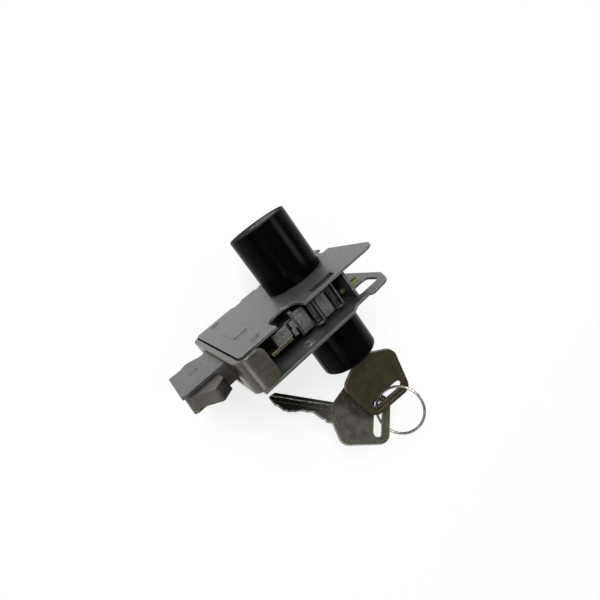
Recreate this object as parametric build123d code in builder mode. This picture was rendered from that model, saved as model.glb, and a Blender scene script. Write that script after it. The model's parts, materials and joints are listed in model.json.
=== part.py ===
from build123d import *
import math
import os

# Double-cylinder hook-bolt case lock for a sliding door, with two keys on a ring.
# Millimetres. X runs from the bolt end to the free end, Y is the cylinder axis,
# Z points out of the open front of the case. Origin on the cylinder axis, at the
# outer face of the cover plate.

# Case plates
PLATE = 1.0
CASE_DEPTH = 14.5
COVER_OUT = 0.0
COVER_IN = -PLATE
BASE_IN = -CASE_DEPTH + PLATE
BASE_OUT = -CASE_DEPTH
CASE_LEFT = -42.0
COVER_LEFT = -41.6
COVER_RIGHT = 20.0
COVER_BACK = -31.6
COVER_FRONT = 34.5
BASE_RIGHT = 20.3
BASE_BACK = -32.0
BASE_FRONT = 36.0
COVER_CORNER_R = 5.0
COVER_LEFT_R = 1.5
NOTCH_LEFT = -26.0
NOTCH_RIGHT = -14.0
NOTCH_BOTTOM = 22.8
NOTCH_R = 5.6
SIDE_NOTCH_DEPTH = 3.3
SIDE_NOTCH_BACK = -9.5
SIDE_NOTCH_FRONT = -1.0
BACK_NOTCH_DEPTH = 2.1
BACK_NOTCH_LEFT = -21.5
BACK_NOTCH_RIGHT = -16.8
SMALL_NOTCH_LEFT = -8.4
SMALL_NOTCH_RIGHT = -6.0
BASE_CORNER_R = 1.5
LOBE_R = 5.0
LOBE_START = 25.5
LOBE_POINT = (16.6, 34.1)
LOBE_HOOK = ((8.2, 35.2), (7.7, 32.9), (1.8, 33.2))
LOBE_FOOT_X = -1.7
END_WALL_X = 5.1
END_WALL_BACK = 13.0
END_WALL_FRONT = 29.5
WINDOW_RIGHT = 17.0
WINDOW_BACK = 18.2
WINDOW_FRONT = 28.7
WINDOW_R = 2.5
BACK_WALL_LEFT = -33.0
BACK_WALL_RIGHT = 12.0
FIXING_X = -19.6
FIXING_FRONT = 31.0
FIXING_BACK = -27.0
FIXING_R = 1.8
FIXING_RIM_R = 2.45
FIXING_RIM_HEIGHT = 0.5
PANEL_CENTRE = (-33.0, 4.0)
PANEL_SIZE = (6.0, 17.5)
PANEL_CORNER_R = 0.5
PANEL_RISE = 0.4
BUMP_POINTS = ((-33.2, -26.1), (-32.8, 28.0))
BUMP_R = 2.3
BUMP_TOP_R = 1.2
BUMP_RISE = 0.6

# Forend, the folded strip the bolt comes out of
FOREND_OUT = -44.2
FOREND_IN = -42.2
FOREND_TOP = -0.7
FOREND_BOTTOM = -13.3
EAR_END = -34.0
EAR_FRONT = 36.8
EAR_BACK = -33.4
EAR_THICK = 1.7
BEND_R = 5.0
BEND_INNER_R = 2.2
EAR_CORNER_R = 2.4
EAR_EDGE_R = 0.4
OPENING_FRONT = 25.5
OPENING_BACK = -16.5
OPENING_TOP = -2.3
OPENING_BOTTOM = -10.8
OPENING_CORNER_R = 0.6

# Guide bracket and guide block at the open front
BRACKET_LEFT = -12.9
BRACKET_RIGHT = 3.0
BRACKET_BACK = 25.5
BRACKET_FRONT = 30.4
BRACKET_THICK = 1.2
BRACKET_CORNER_R = 1.0
TAB_LEFT = -8.3
TAB_RIGHT = 1.8
TAB_BACK = 29.4
TAB_RISE = 0.85
TAB_CORNER_R = 0.4
SLOT_FRONT = 32.4
SLOT_PLAY = 0.2
SLOT_CORNER_R = 0.5
LEG_R = 1.9
LEG_SHEET = 0.55
LEG_Z = 27.3
LEG_SIDE = 1.1
LEG_HOOK = 0.4
LEG_BOTTOM = -12.0
LEG_X = (-10.8, -1.6)
LIP_THICK = 0.7
GUIDE_LEFT = -8.4
GUIDE_RIGHT = -3.6
GUIDE_BACK = 25.25
GUIDE_FRONT = 27.6
GUIDE_TOP = -3.7
GUIDE_BOTTOM = -11.8
GUIDE_CHAMFER = 0.4
STEM_INSET = 1.0
STEM_BACK = 25.85
STEM_FRONT = 27.2

# Posts, stop pin and guide pin fixed in the case
POST_POINTS = ((13.0, 0.5), (15.0, -24.0), (-27.5, -26.0), (-38.5, -26.5))
POST_R = 2.0
POST_SHANK_R = 1.2
STOP_PIN_Y = -10.5
STOP_PIN_Z = 22.0
STOP_PIN_R = 1.2
STOP_PIN_START = 3.6
STOP_PIN_END = 12.3
STOP_PIN_CHAMFER = 0.3
STOP_COLLAR_R = 1.7
STOP_COLLAR_THICK = 0.8
STOP_HOLE_R = 1.55
STOP_HOLE_DEPTH = 2.0
GUIDE_PIN_X = -38.0
GUIDE_PIN_R = 1.3
GUIDE_PIN_TIP = -6.5
GUIDE_PIN_CHAMFER = 0.25
GUIDE_COLLAR_R = 2.4
GUIDE_COLLAR_TOP = -11.2

# Cylinders: A stands on the cover plate, B on the base plate
CYLINDER_R = 12.5
LENGTH_A = 25.8
LENGTH_B = 27.3
SLEEVE_WALL = 2.0
SLEEVE_END = 1.5
RIM_A = 0.3
RIM_B = 1.4
PLUG_X = 3.2
PLUG_TURN = 9.3
CORE_R = 10.4
NOSE_R = 7.5
NOSE_HOLE_R = 7.6
NECK_R = 7.5
NECK_HOLE_R = 7.65
GROOVE_R = 6.9
RING_THICK = 0.9
NECK_LIP = 0.55
RETAINER_R = 10.2
RETAINER_PLAY = 0.05
RETAINER_GAP = 12.8
PLUG_R = 6.2
PLUG_BORE_R = 6.25
PLUG_CHAMFER = 0.3
FACE_RECESS = 0.2
KEYWAY_WIDE = 8.4
KEYWAY_HIGH = 2.4
KEYWAY_BOTTOM = 2.4
WARD_X = 1.3
WARD_WIDE = 0.8
WARD_TIP = 0.7

# Pins and their springs
PIN_COUNT = 5
PIN_PITCH = 4.0
PIN_FROM_FACE = 3.3
PIN_R = 1.3
PIN_CHAMBER_R = 1.4
PIN_TIP_AT = 4.15
PIN_TIP_R = 0.6
PIN_TIP_LENGTH = 0.7
BOTTOM_PIN_END = 6.0
DRIVER_START = 6.45
DRIVER_END = 9.5
CHAMBER_START = 4.0
CHAMBER_END = 14.0
SPRING_START = 9.7
SPRING_R = 0.9
SPRING_WIRE_R = 0.16
SPRING_LENGTH = 3.2
SPRING_TURNS = 4.5

# Rack and pinion
MODULE = 1.0
TEETH = 12
PITCH_R = MODULE * TEETH / 2
PRESSURE_ANGLE = 20.0
PINION_TIP_R = 6.85
PINION_ROOT_R = 5.15
TOOTH_ROOT_SINK = 0.3
TOOTH_STEPS = 5
TOOTH_PLAY = 0.14
PINION_TOP = -5.3
PINION_BOTTOM = -9.3
HUB_R = 4.5
HUB_BOTTOM = -11.9
TONGUE_WIDE = 7.6
TONGUE_HIGH = 3.0
TONGUE_TIP = -5.6
TONGUE_PLAY = 0.05
DOG_IN_R = 3.0
DOG_OUT_R = 5.2
DOG_TOP = -2.8
DOG_ANGLES = (25.0, 65.0)
LUG_BOTTOM = -4.9
LUG_ANGLES = (-20.0, 20.0)
RACK_TEETH = 7
RACK_ADDENDUM = 0.6
RACK_DEDENDUM = 1.0
RACK_BACK = -11.0
RACK_TOP = -5.2
RACK_END = 5.2

# Bolt: two cheeks with the carriage between them
TOP_CHEEK_OUT = -2.5
TOP_CHEEK_IN = -3.8
BOTTOM_CHEEK_IN = -9.5
BOTTOM_CHEEK_OUT = -10.6
BOLT_TIP = -62.3
CHEEK_END = -21.6
CHEEK_FRONT = 18.0
LOWER_CHEEK_FRONT = 17.0
CHEEK_BACK = -15.0
CHEEK_WING_LEFT = -30.8
CHEEK_WING_FRONT = 25.0
CHEEK_WING_STEP = 3.0
CHEEK_TIP_CHAMFER = 1.5
CHEEK_TIP_BACK_X = -61.9
CHEEK_MARK = (-53.3, 1.0)
CHEEK_MARK_R = 1.9
CHEEK_MARK_INNER_R = 1.4
CHEEK_MARK_DEPTH = 0.3
WAVE_LEAD = 2.5
WAVE_POINTS = ((-43.7, -14.3), (-47.2, -10.8), (-50.3, -13.6), (-52.9, -15.9), (-56.2, -13.9))
SPINE_LEFT = -25.0
SPINE_RIGHT = -21.4
SPINE_FRONT = 17.0
BACK_ARM_LEFT = -43.0
BACK_ARM_BACK = -14.2
BACK_ARM_FRONT = -8.0
BRANCH_TOP = -4.8
BRANCH_BACK = 15.0
BRANCH_FRONT = 25.0
BRANCH_LEFT = -27.4
BRANCH_STEP_X = -21.0
BRANCH_STEP_FRONT = 23.0
BRANCH_END = -17.8
END_PLATE_RIGHT = -16.6
END_PLATE_TOP = -2.0
END_PLATE_BOTTOM = -12.6
END_PLATE_BACK = 15.5
END_PLATE_CORNER_R = 0.8
END_BLOCK_RIGHT = -12.3
END_BLOCK_TOP = -3.2
END_BLOCK_BOTTOM = -12.4
END_BLOCK_CHAMFER = 0.5
STEP_LEFT = -20.3
STEP_MIDDLE = -19.7
STEP_LOWER_RIGHT = -18.7
STEP_RIGHT = -17.9
STEP_TOP = -5.1
STEP_LEVEL = -8.0
STEP_BOTTOM = -10.4
TIE_Y = -7.2
TIE_Z = 19.0
TIE_R = 1.3
TIE_START = -24.0
RIVET_POINTS = ((-23.2, -11.0), (-23.2, 14.0), (-39.0, -11.1))
RIVET_R = 1.25
GUIDE_SLOT_R = 1.6
GUIDE_SLOT_SPARE = 0.2
THROW = 17.28

# Hook claw
CLAW_TOP = -3.9
CLAW_BOTTOM = -8.9
CLAW_SWING = 22.0
PIVOT_X = -30.0
PIVOT_Z = 8.0
PIVOT_R = 2.0
PIVOT_BORE_R = 2.05
CLAW_BOSS_R = 4.6
CLAW_TIP_R = 0.8
CLAW_HEAD = ((-61.6, 16.2), (-60.8, 9.0))
CLAW_NECK_BACK = ((-48.0, 5.0), (-33.0, 3.9), (-29.0, 4.4))
CLAW_NECK_FRONT = ((-28.0, 10.0), (-31.0, 12.4), (-37.0, 18.0))
CLAW_CATCH = ((-48.6, 18.5), (-48.0, 26.0), (-52.6, 30.0))
CLAW_GROOVE_FLOOR = -6.2
CLAW_GROOVE_WIDE = 3.0
CLAW_GROOVE_STEPS = 6

# Keys and ring
BLADE_LENGTH = 28.5
BLADE_HALF = 4.0
BLADE_THICK = 2.0
BLADE_ROOT = 1.0
BLADE_TIP_BACK = 2.1
BLADE_TIP_FRONT = 1.5
BLADE_BACK_START = 2.2
CUT_DEPTHS = (2.7, 1.0, 1.2, 2.2, 2.3)
FIRST_CUT = 3.6
CUT_FLAT = 1.0
CUT_RIDGE = 0.25
RIDGE_STEP = 0.5
CUT_RUN_OUT = 1.0
SHOULDER_START = -2.8
SHOULDER_SLOPE = 0.8
SHOULDER_HALF = 5.2
BLADE_GROOVE_WIDE = 2.2
BLADE_GROOVE_DEPTH = 0.45
BLADE_GROOVE_END = -0.6
BOW_LENGTH = 26.0
BOW_RISE = 5.6
BOW_WIDE_HALF = 14.1
BOW_END_HALF = 10.4
BOW_THICK = 2.2
BOW_CORNER_R = 4.5
BOW_SLOT_AT = 20.7
BOW_SLOT_LENGTH = 16.6
BOW_SLOT_WIDE = 3.8
BOW_RIM = 1.5
BOW_PANEL_DEPTH = 0.3
KEY_SHOULDER_Y = -46.4
SPARE_ORIGIN = (-18.693, -60.335, -10.144)
SPARE_ALONG = (0.6203, -0.7052, 0.3434)
SPARE_NORMAL = (0.161, 0.543, 0.8242)
RING_CENTRE = (3.346, -76.554, 2.162)
RING_NORMAL = (-0.5539, 0.3873, 0.7371)
RING_R = 10.52
RING_WIRE_R = 0.6

# The two cylinders point opposite ways along Y
ON_COVER = 1
ON_BASE = -1
UP = (Align.CENTER, Align.CENTER, Align.MIN)
OVERRUN = 1.0

COS_TURN = math.cos(math.radians(PLUG_TURN))
SIN_TURN = math.sin(math.radians(PLUG_TURN))


def level(y):
    """Plane across the lock at height y: local x is X, local y is Z, normal is -Y."""
    return Plane.XZ.offset(-y)


def lengthwise(x):
    """Plane at length x: local x is Y, local y is Z, normal is +X."""
    return Plane.YZ.offset(x)


def outwards(side, depth, x=0.0):
    """Plane square to a cylinder, depth outwards from its plate, normal outwards."""
    face = COVER_OUT if side == ON_COVER else BASE_OUT
    return Plane(origin=(x, face + side * depth, 0), x_dir=(1, 0, 0), z_dir=(0, side, 0))


def keyway_plane(side, depth):
    """As outwards, on the plug axis, with local x along the width of the key."""
    plane = outwards(side, depth, PLUG_X)
    return Plane(origin=plane.origin, x_dir=(COS_TURN, 0, SIN_TURN), z_dir=plane.z_dir)


def cylinder_length(side):
    return LENGTH_A if side == ON_COVER else LENGTH_B


def pin_plane(side, index, reach):
    """Plane on the axis of one pin, reach away from the plug axis."""
    depth = cylinder_length(side) - PIN_FROM_FACE - PIN_PITCH * index
    plane = keyway_plane(side, depth)
    origin = plane.origin - plane.x_dir * reach
    return Plane(origin=origin, x_dir=(0, 1, 0), z_dir=-plane.x_dir)


def outline(plane, points, rounded=(), radius=0.0, inset=0.0):
    """Closed polygon on a plane, with the corners whose numbers are given rounded."""
    with BuildSketch(plane) as shape:
        with BuildLine():
            Polyline(*points, close=True)
        make_face()
        if rounded:
            corners = [near_corner(shape.vertices(), points[n]) for n in rounded]
            fillet(corners, radius)
        if inset:
            offset(amount=-inset, mode=Mode.REPLACE)
    return shape.sketch


def near_corner(corners, point):
    """The corner of a sketch nearest to a local point."""
    return min(corners, key=lambda v: (v.X - point[0]) ** 2 + (v.Y - point[1]) ** 2)


def box_points(left, back, right, front):
    return ((left, back), (right, back), (right, front), (left, front))


def panel(plane, left, back, right, front, radius=0.0):
    """Rectangle on a plane, with all four corners rounded when a radius is given."""
    numbers = range(4) if radius else ()
    return outline(plane, box_points(left, back, right, front), numbers, radius)


def disc(plane, x, z, radius):
    with BuildSketch(plane) as shape:
        with Locations((x, z)):
            Circle(radius)
    return shape.sketch


def upright_edge(builder, x, z):
    """The edge along Y that stands nearest to a point in X and Z."""
    edges = builder.edges().filter_by(Axis.Y)
    return min(edges, key=lambda e: (e.center().X - x) ** 2 + (e.center().Z - z) ** 2)


def save(builder, node):
    builder.part.label = node
    export_step(builder.part, "parts/" + node + ".step")


os.makedirs("parts", exist_ok=True)


def cover_points():
    """Outline of the cover plate, with its back, side and front notches."""
    points = [(COVER_LEFT, COVER_BACK)]
    for left, right in ((BACK_NOTCH_LEFT, BACK_NOTCH_RIGHT), (SMALL_NOTCH_LEFT, SMALL_NOTCH_RIGHT)):
        points += [(left, COVER_BACK), (left, COVER_BACK + BACK_NOTCH_DEPTH),
                   (right, COVER_BACK + BACK_NOTCH_DEPTH), (right, COVER_BACK)]
    side = COVER_RIGHT - SIDE_NOTCH_DEPTH
    points += [(COVER_RIGHT, COVER_BACK), (COVER_RIGHT, SIDE_NOTCH_BACK), (side, SIDE_NOTCH_BACK),
               (side, SIDE_NOTCH_FRONT), (COVER_RIGHT, SIDE_NOTCH_FRONT),
               (COVER_RIGHT, COVER_FRONT), (NOTCH_RIGHT, COVER_FRONT),
               (NOTCH_RIGHT, NOTCH_BOTTOM), (NOTCH_LEFT, NOTCH_BOTTOM),
               (NOTCH_LEFT, COVER_FRONT), (COVER_LEFT, COVER_FRONT)]
    return points


with BuildPart() as cover_plate:
    extrude(outline(level(COVER_OUT), cover_points()), amount=PLATE)
    fillet([upright_edge(cover_plate, NOTCH_LEFT, NOTCH_BOTTOM),
            upright_edge(cover_plate, NOTCH_RIGHT, NOTCH_BOTTOM)], NOTCH_R)
    fillet(upright_edge(cover_plate, COVER_RIGHT, COVER_FRONT), COVER_CORNER_R)
    fillet([upright_edge(cover_plate, COVER_LEFT, COVER_BACK),
            upright_edge(cover_plate, COVER_LEFT, COVER_FRONT)], COVER_LEFT_R)
    extrude(disc(level(COVER_OUT), PLUG_X, 0, NECK_HOLE_R), amount=PLATE, mode=Mode.SUBTRACT)
    extrude(panel(level(COVER_OUT), TAB_LEFT - SLOT_PLAY, TAB_BACK - SLOT_PLAY,
                  TAB_RIGHT + SLOT_PLAY, SLOT_FRONT, SLOT_CORNER_R),
            amount=PLATE, mode=Mode.SUBTRACT)
    for point in BUMP_POINTS:
        with Locations(Plane(origin=(point[0], COVER_OUT, point[1]), z_dir=(0, 1, 0))):
            Cone(BUMP_R, BUMP_TOP_R, BUMP_RISE, align=UP)
    extrude(panel(level(COVER_OUT + PANEL_RISE),
                  PANEL_CENTRE[0] - PANEL_SIZE[0] / 2, PANEL_CENTRE[1] - PANEL_SIZE[1] / 2,
                  PANEL_CENTRE[0] + PANEL_SIZE[0] / 2, PANEL_CENTRE[1] + PANEL_SIZE[1] / 2,
                  PANEL_CORNER_R), amount=PANEL_RISE + PLATE / 2)
save(cover_plate, "cover_plate")


def base_points():
    """Outline of the base plate, with the lobe at its front right corner."""
    return (
        (CASE_LEFT, BASE_BACK), (BASE_RIGHT, BASE_BACK), (BASE_RIGHT, LOBE_START), LOBE_POINT,
        *LOBE_HOOK, (LOBE_FOOT_X, BASE_FRONT), (CASE_LEFT, BASE_FRONT))


with BuildPart() as base_plate:
    extrude(outline(level(BASE_IN), base_points(), (2, 3), LOBE_R), amount=PLATE)
    fillet([upright_edge(base_plate, BASE_RIGHT, BASE_BACK),
            upright_edge(base_plate, LOBE_HOOK[0][0], LOBE_HOOK[0][1])], BASE_CORNER_R)
    extrude(panel(level(COVER_IN), END_WALL_X, END_WALL_BACK, END_WALL_X + PLATE,
                  END_WALL_FRONT), amount=COVER_IN - BASE_IN + PLATE / 2)
    extrude(panel(level(COVER_IN), BACK_WALL_LEFT, BASE_BACK, BACK_WALL_RIGHT,
                  BASE_BACK + PLATE), amount=COVER_IN - BASE_IN + PLATE / 2)
    extrude(panel(level(BASE_IN), END_WALL_X + PLATE, WINDOW_BACK, WINDOW_RIGHT,
                  WINDOW_FRONT, WINDOW_R), amount=PLATE, mode=Mode.SUBTRACT)
    for z in (FIXING_FRONT, FIXING_BACK):
        extrude(disc(level(BASE_IN + FIXING_RIM_HEIGHT), FIXING_X, z, FIXING_RIM_R),
                amount=FIXING_RIM_HEIGHT + PLATE / 2)
        extrude(disc(level(BASE_IN + FIXING_RIM_HEIGHT), FIXING_X, z, FIXING_R),
                amount=FIXING_RIM_HEIGHT + PLATE, mode=Mode.SUBTRACT)
    for point in POST_POINTS:
        extrude(disc(level(BASE_IN), point[0], point[1], POST_SHANK_R),
                amount=PLATE, mode=Mode.SUBTRACT)
    extrude(disc(level(BASE_IN), GUIDE_PIN_X, PIVOT_Z, GUIDE_PIN_R),
            amount=PLATE, mode=Mode.SUBTRACT)
    extrude(disc(level(BASE_IN), PLUG_X, 0, NECK_HOLE_R), amount=PLATE, mode=Mode.SUBTRACT)
    extrude(disc(lengthwise(END_WALL_X), STOP_PIN_Y, STOP_PIN_Z, STOP_PIN_R),
            amount=PLATE, mode=Mode.SUBTRACT)
save(base_plate, "base_plate")


def forend_points():
    """Section of the forend: the strip with an ear folded back at each end."""
    return (
        (EAR_END, EAR_FRONT), (FOREND_OUT, EAR_FRONT), (FOREND_OUT, EAR_BACK),
        (EAR_END, EAR_BACK), (EAR_END, EAR_BACK + EAR_THICK),
        (FOREND_IN, EAR_BACK + EAR_THICK), (FOREND_IN, EAR_FRONT - EAR_THICK),
        (EAR_END, EAR_FRONT - EAR_THICK))


with BuildPart() as forend:
    extrude(outline(level(FOREND_TOP), forend_points(), (1, 2), BEND_R),
            amount=FOREND_TOP - FOREND_BOTTOM)
    fillet([upright_edge(forend, FOREND_IN, EAR_FRONT - EAR_THICK),
            upright_edge(forend, FOREND_IN, EAR_BACK + EAR_THICK)], BEND_INNER_R)
    ear_ends = forend.faces().sort_by(Axis.X)[-2:].edges().filter_by(Axis.Z)
    fillet(ear_ends, EAR_CORNER_R)
    outer_edge = forend.faces().sort_by(Axis.Z)[-1].edges().sort_by(Axis.Y)[-1]
    fillet(outer_edge, EAR_EDGE_R)
    extrude(panel(lengthwise(FOREND_OUT), OPENING_BOTTOM, OPENING_BACK, OPENING_TOP,
                  OPENING_FRONT, OPENING_CORNER_R), amount=FOREND_IN - FOREND_OUT,
            mode=Mode.SUBTRACT)
save(forend, "forend")


def leg_section(y, x):
    """Section of one bracket leg: a J that curves from its right side round the back."""
    with BuildSketch(level(y)) as shape:
        with Locations((x, LEG_Z)):
            Circle(LEG_R)
            Circle(LEG_R - LEG_SHEET, mode=Mode.SUBTRACT)
            Rectangle(2 * LEG_R, LEG_R, align=(Align.CENTER, Align.MIN), mode=Mode.SUBTRACT)
        with Locations((x - LEG_HOOK, LEG_Z)):
            Rectangle(LEG_R, 2 * LEG_R, align=(Align.MAX, Align.CENTER), mode=Mode.SUBTRACT)
        with Locations((x + LEG_R, LEG_Z)):
            Rectangle(LEG_SHEET, LEG_SIDE, align=(Align.MAX, Align.MIN))
    return shape.sketch


with BuildPart() as guide_bracket:
    leg_top = COVER_IN - BRACKET_THICK / 2
    extrude(panel(level(COVER_IN), BRACKET_LEFT, BRACKET_BACK, BRACKET_RIGHT,
                  BRACKET_FRONT, BRACKET_CORNER_R), amount=BRACKET_THICK)
    extrude(panel(level(COVER_OUT + TAB_RISE), TAB_LEFT, TAB_BACK, TAB_RIGHT, BRACKET_FRONT,
                  TAB_CORNER_R), amount=COVER_OUT + TAB_RISE - leg_top)
    for x in LEG_X:
        extrude(leg_section(leg_top, x), amount=leg_top - LEG_BOTTOM)
        extrude(disc(level(LEG_BOTTOM + LIP_THICK), x, LEG_Z, LEG_R), amount=LIP_THICK)
save(guide_bracket, "guide_bracket")


with BuildPart() as guide_block:
    extrude(panel(level(GUIDE_TOP), GUIDE_LEFT, GUIDE_BACK, GUIDE_RIGHT, GUIDE_FRONT),
            amount=GUIDE_TOP - GUIDE_BOTTOM)
    chamfer(guide_block.edges().filter_by(Axis.Y), GUIDE_CHAMFER)
    stem_top = COVER_IN - BRACKET_THICK
    extrude(panel(level(stem_top), GUIDE_LEFT + STEM_INSET, STEM_BACK,
                  GUIDE_RIGHT - STEM_INSET, STEM_FRONT), amount=stem_top - GUIDE_TOP)
save(guide_block, "guide_block")


with BuildPart() as case_spacers:
    for point in POST_POINTS:
        extrude(disc(level(COVER_IN), point[0], point[1], POST_R), amount=COVER_IN - BASE_IN)
        extrude(disc(level(BASE_IN), point[0], point[1], POST_SHANK_R), amount=PLATE)
save(case_spacers, "case_spacers")


with BuildPart() as stop_pin:
    extrude(disc(lengthwise(STOP_PIN_START), STOP_PIN_Y, STOP_PIN_Z, STOP_PIN_R),
            amount=STOP_PIN_END - STOP_PIN_START)
    chamfer([stop_pin.faces().sort_by(Axis.X)[0].edges(),
             stop_pin.faces().sort_by(Axis.X)[-1].edges()], STOP_PIN_CHAMFER)
    extrude(disc(lengthwise(END_WALL_X + PLATE), STOP_PIN_Y, STOP_PIN_Z, STOP_COLLAR_R),
            amount=STOP_COLLAR_THICK)
save(stop_pin, "stop_pin")


with BuildPart() as guide_pin:
    extrude(disc(level(GUIDE_PIN_TIP), GUIDE_PIN_X, PIVOT_Z, GUIDE_PIN_R),
            amount=GUIDE_PIN_TIP - BASE_OUT)
    chamfer(guide_pin.faces().sort_by(Axis.Y)[-1].edges(), GUIDE_PIN_CHAMFER)
    extrude(disc(level(GUIDE_COLLAR_TOP), GUIDE_PIN_X, PIVOT_Z, GUIDE_COLLAR_R),
            amount=GUIDE_COLLAR_TOP - BASE_IN)
save(guide_pin, "guide_pin")


def sleeve(side, rim):
    """Outer sleeve of a cylinder, closed at its end but for the hole of the nose."""
    length = cylinder_length(side)
    with BuildPart() as tube:
        with Locations(outwards(side, 0)):
            Cylinder(CYLINDER_R, length, align=UP)
        end_edge = tube.faces().sort_by(Axis.Y)[-1 if side == ON_COVER else 0].edges()
        if side == ON_COVER:
            chamfer(end_edge, rim)
        else:
            fillet(end_edge, rim)
        with Locations(outwards(side, 0)):
            Cylinder(CYLINDER_R - SLEEVE_WALL, length - SLEEVE_END, align=UP,
                     mode=Mode.SUBTRACT)
        with Locations(outwards(side, 0, PLUG_X)):
            Cylinder(NOSE_HOLE_R, length + OVERRUN, align=UP, mode=Mode.SUBTRACT)
    return tube


def core(side):
    """Fixed core of a cylinder, with the plug bore, the pin bores and the neck."""
    length = cylinder_length(side)
    neck = PLATE + RING_THICK + NECK_LIP
    with BuildPart() as body:
        with Locations(outwards(side, 0)):
            Cylinder(CORE_R, length - SLEEVE_END, align=UP)
        with Locations(outwards(side, 0, PLUG_X)):
            Cylinder(NOSE_R, length - FACE_RECESS, align=UP)
        with Locations(outwards(side, -neck, PLUG_X)):
            Cylinder(NECK_R, neck, align=UP)
        with BuildSketch(outwards(side, -PLATE - RING_THICK, PLUG_X)):
            Circle(NECK_R + OVERRUN)
            Circle(GROOVE_R, mode=Mode.SUBTRACT)
        extrude(amount=RING_THICK, mode=Mode.SUBTRACT)
        with Locations(outwards(side, -neck, PLUG_X)):
            Cylinder(PLUG_BORE_R, neck + length, align=UP, mode=Mode.SUBTRACT)
        for index in range(PIN_COUNT):
            with Locations(pin_plane(side, index, CHAMBER_START)):
                Cylinder(PIN_CHAMBER_R, CHAMBER_END - CHAMBER_START, align=UP,
                         mode=Mode.SUBTRACT)
    return body


def sector(y, angles):
    """Part of a ring about the plug axis, between two angles from +X towards +Z."""
    start = math.radians(angles[0])
    end = math.radians(angles[1])
    reach = 2 * DOG_OUT_R
    with BuildSketch(level(y)) as shape:
        with Locations((PLUG_X, 0)):
            Circle(DOG_OUT_R)
            Circle(DOG_IN_R, mode=Mode.SUBTRACT)
        with BuildLine():
            Polyline((PLUG_X, 0),
                     (PLUG_X + reach * math.cos(start), reach * math.sin(start)),
                     (PLUG_X + reach * math.cos(end), reach * math.sin(end)), close=True)
        make_face(mode=Mode.INTERSECT)
    return shape.sketch


def plug(side):
    """Turning plug with its keyway; A carries the lug, B the tongue of the drive."""
    length = cylinder_length(side)
    neck = PLATE + RING_THICK + NECK_LIP
    with BuildPart() as body:
        with Locations(outwards(side, -neck, PLUG_X)):
            Cylinder(PLUG_R, neck + length - FACE_RECESS, align=UP)
        face = body.faces().sort_by(Axis.Y)[-1 if side == ON_COVER else 0]
        chamfer(face.edges(), PLUG_CHAMFER)
        with BuildSketch(keyway_plane(side, KEYWAY_BOTTOM)):
            Rectangle(KEYWAY_WIDE, KEYWAY_HIGH)
            with Locations((WARD_X, WARD_TIP + KEYWAY_HIGH / 2)):
                Rectangle(WARD_WIDE, KEYWAY_HIGH, mode=Mode.SUBTRACT)
        extrude(amount=length, mode=Mode.SUBTRACT)
        for index in range(PIN_COUNT):
            with Locations(pin_plane(side, index, CHAMBER_START)):
                Cylinder(PIN_CHAMBER_R, PLUG_R, align=UP, mode=Mode.SUBTRACT)
        if side == ON_COVER:
            extrude(sector(-neck, LUG_ANGLES), amount=-neck - LUG_BOTTOM)
        else:
            with BuildSketch(level(TONGUE_TIP)):
                with Locations((PLUG_X, 0)):
                    Rectangle(TONGUE_WIDE, TONGUE_HIGH)
            extrude(amount=TONGUE_TIP - BASE_IN)
    return body


def bottom_pins(side):
    """Pointed pins inside the plug, ending at its surface."""
    straight = PIN_TIP_AT + PIN_TIP_LENGTH
    with BuildPart() as pins:
        for index in range(PIN_COUNT):
            with Locations(pin_plane(side, index, PIN_TIP_AT)):
                Cone(PIN_TIP_R, PIN_R, PIN_TIP_LENGTH, align=UP)
            with Locations(pin_plane(side, index, straight)):
                Cylinder(PIN_R, BOTTOM_PIN_END - straight, align=UP)
    return pins


def driver_pins(side):
    """Plain pins in the core, just outside the plug."""
    with BuildPart() as pins:
        for index in range(PIN_COUNT):
            with Locations(pin_plane(side, index, DRIVER_START)):
                Cylinder(PIN_R, DRIVER_END - DRIVER_START, align=UP)
    return pins


def spring_coil():
    """One small coil spring standing on the XY plane."""
    with BuildPart() as coil:
        with BuildLine() as path:
            Helix(SPRING_LENGTH / SPRING_TURNS, SPRING_LENGTH, SPRING_R)
        with BuildSketch(Plane(origin=path.line @ 0, z_dir=path.line % 0)):
            Circle(SPRING_WIRE_R)
        sweep()
    return coil.part


def pin_springs(side, coil):
    with BuildPart() as springs:
        for index in range(PIN_COUNT):
            with Locations(pin_plane(side, index, SPRING_START)):
                add(coil)
    return springs


def retaining_ring(side):
    """Horseshoe ring that snaps into the neck groove inside the case."""
    with BuildPart() as ring:
        with BuildSketch(outwards(side, -PLATE - RING_THICK, PLUG_X)):
            Circle(RETAINER_R)
            Circle(GROOVE_R + RETAINER_PLAY, mode=Mode.SUBTRACT)
            with Locations((RETAINER_R, 0)):
                Rectangle(2 * RETAINER_R, RETAINER_GAP, mode=Mode.SUBTRACT)
        extrude(amount=RING_THICK)
    return ring


spring_shape = spring_coil()
save(sleeve(ON_COVER, RIM_A), "sleeve_a")
save(sleeve(ON_BASE, RIM_B), "sleeve_b")
for cylinder_side, letter in ((ON_COVER, "a"), (ON_BASE, "b")):
    save(core(cylinder_side), "core_" + letter)
    save(plug(cylinder_side), "plug_" + letter)
    save(bottom_pins(cylinder_side), "bottom_pins_" + letter)
    save(driver_pins(cylinder_side), "driver_pins_" + letter)
    save(pin_springs(cylinder_side, spring_shape), "pin_springs_" + letter)
    save(retaining_ring(cylinder_side), "retaining_ring_" + letter)


def involute(angle):
    return math.tan(angle) - angle


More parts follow.
